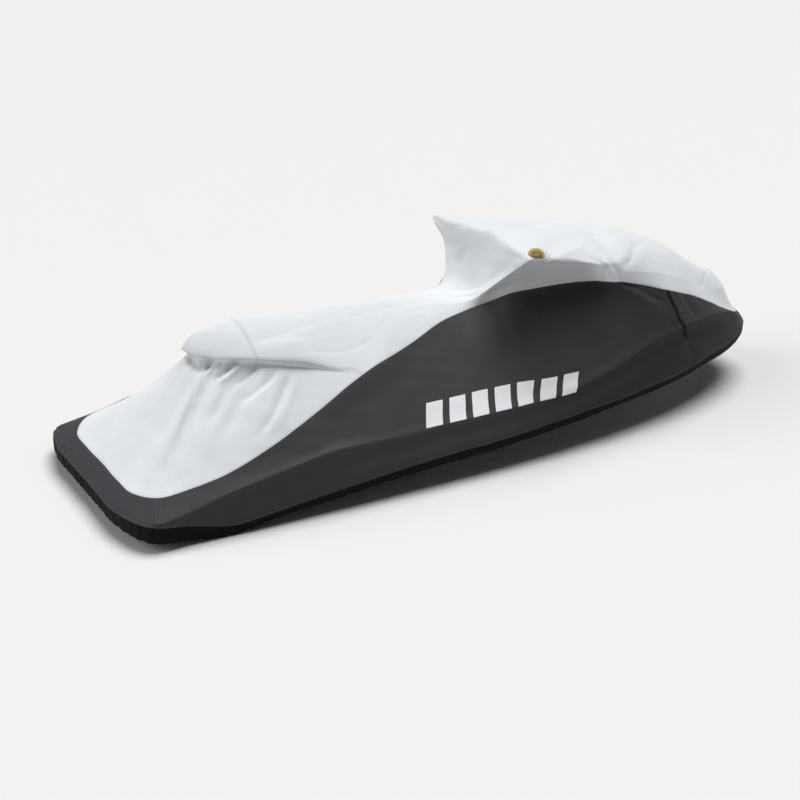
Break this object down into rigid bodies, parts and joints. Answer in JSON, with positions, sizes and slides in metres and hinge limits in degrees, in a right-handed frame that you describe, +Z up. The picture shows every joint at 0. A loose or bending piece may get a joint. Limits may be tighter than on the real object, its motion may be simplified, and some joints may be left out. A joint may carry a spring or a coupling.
{
  "type": "personal watercraft cover",
  "caption": "Fitted two-tone cloth cover for a personal watercraft, hanging as it is worn, with a turned elastic hem and a tented handlebar.",
  "frame": {"origin": "under the cloth at the middle of the ridge over the handlebar, where the covered craft holds the cover up", "axes": "+X to the bow along the length, +Y to port, +Z up"},
  "size_m": [3.4516, 1.2202, 0.8724],
  "materials": {
    "light_cloth": "light cool grey coated polyester, fine plain weave, matt with a faint sheen",
    "dark_cloth": "charcoal coated polyester, fine plain weave, matt",
    "hem_cloth": "black polyester gathered over elastic, matt",
    "webbing": "black ribbed webbing",
    "patch": "dull yellow woven patch with a dark edge"
  },
  "bodies": {
    "root": {"seat_cap": "light_cloth", "tail_panel": "light_cloth", "top_panel": "light_cloth", "stern_band": "dark_cloth", "side_panel_starboard": "dark_cloth", "side_panel_port": "dark_cloth", "bow_band": "dark_cloth", "hem_casing": "hem_cloth", "bow_strap_starboard": "webbing", "bow_strap_port": "webbing", "grip_patch": "patch"}
  },
  "joints": []
}
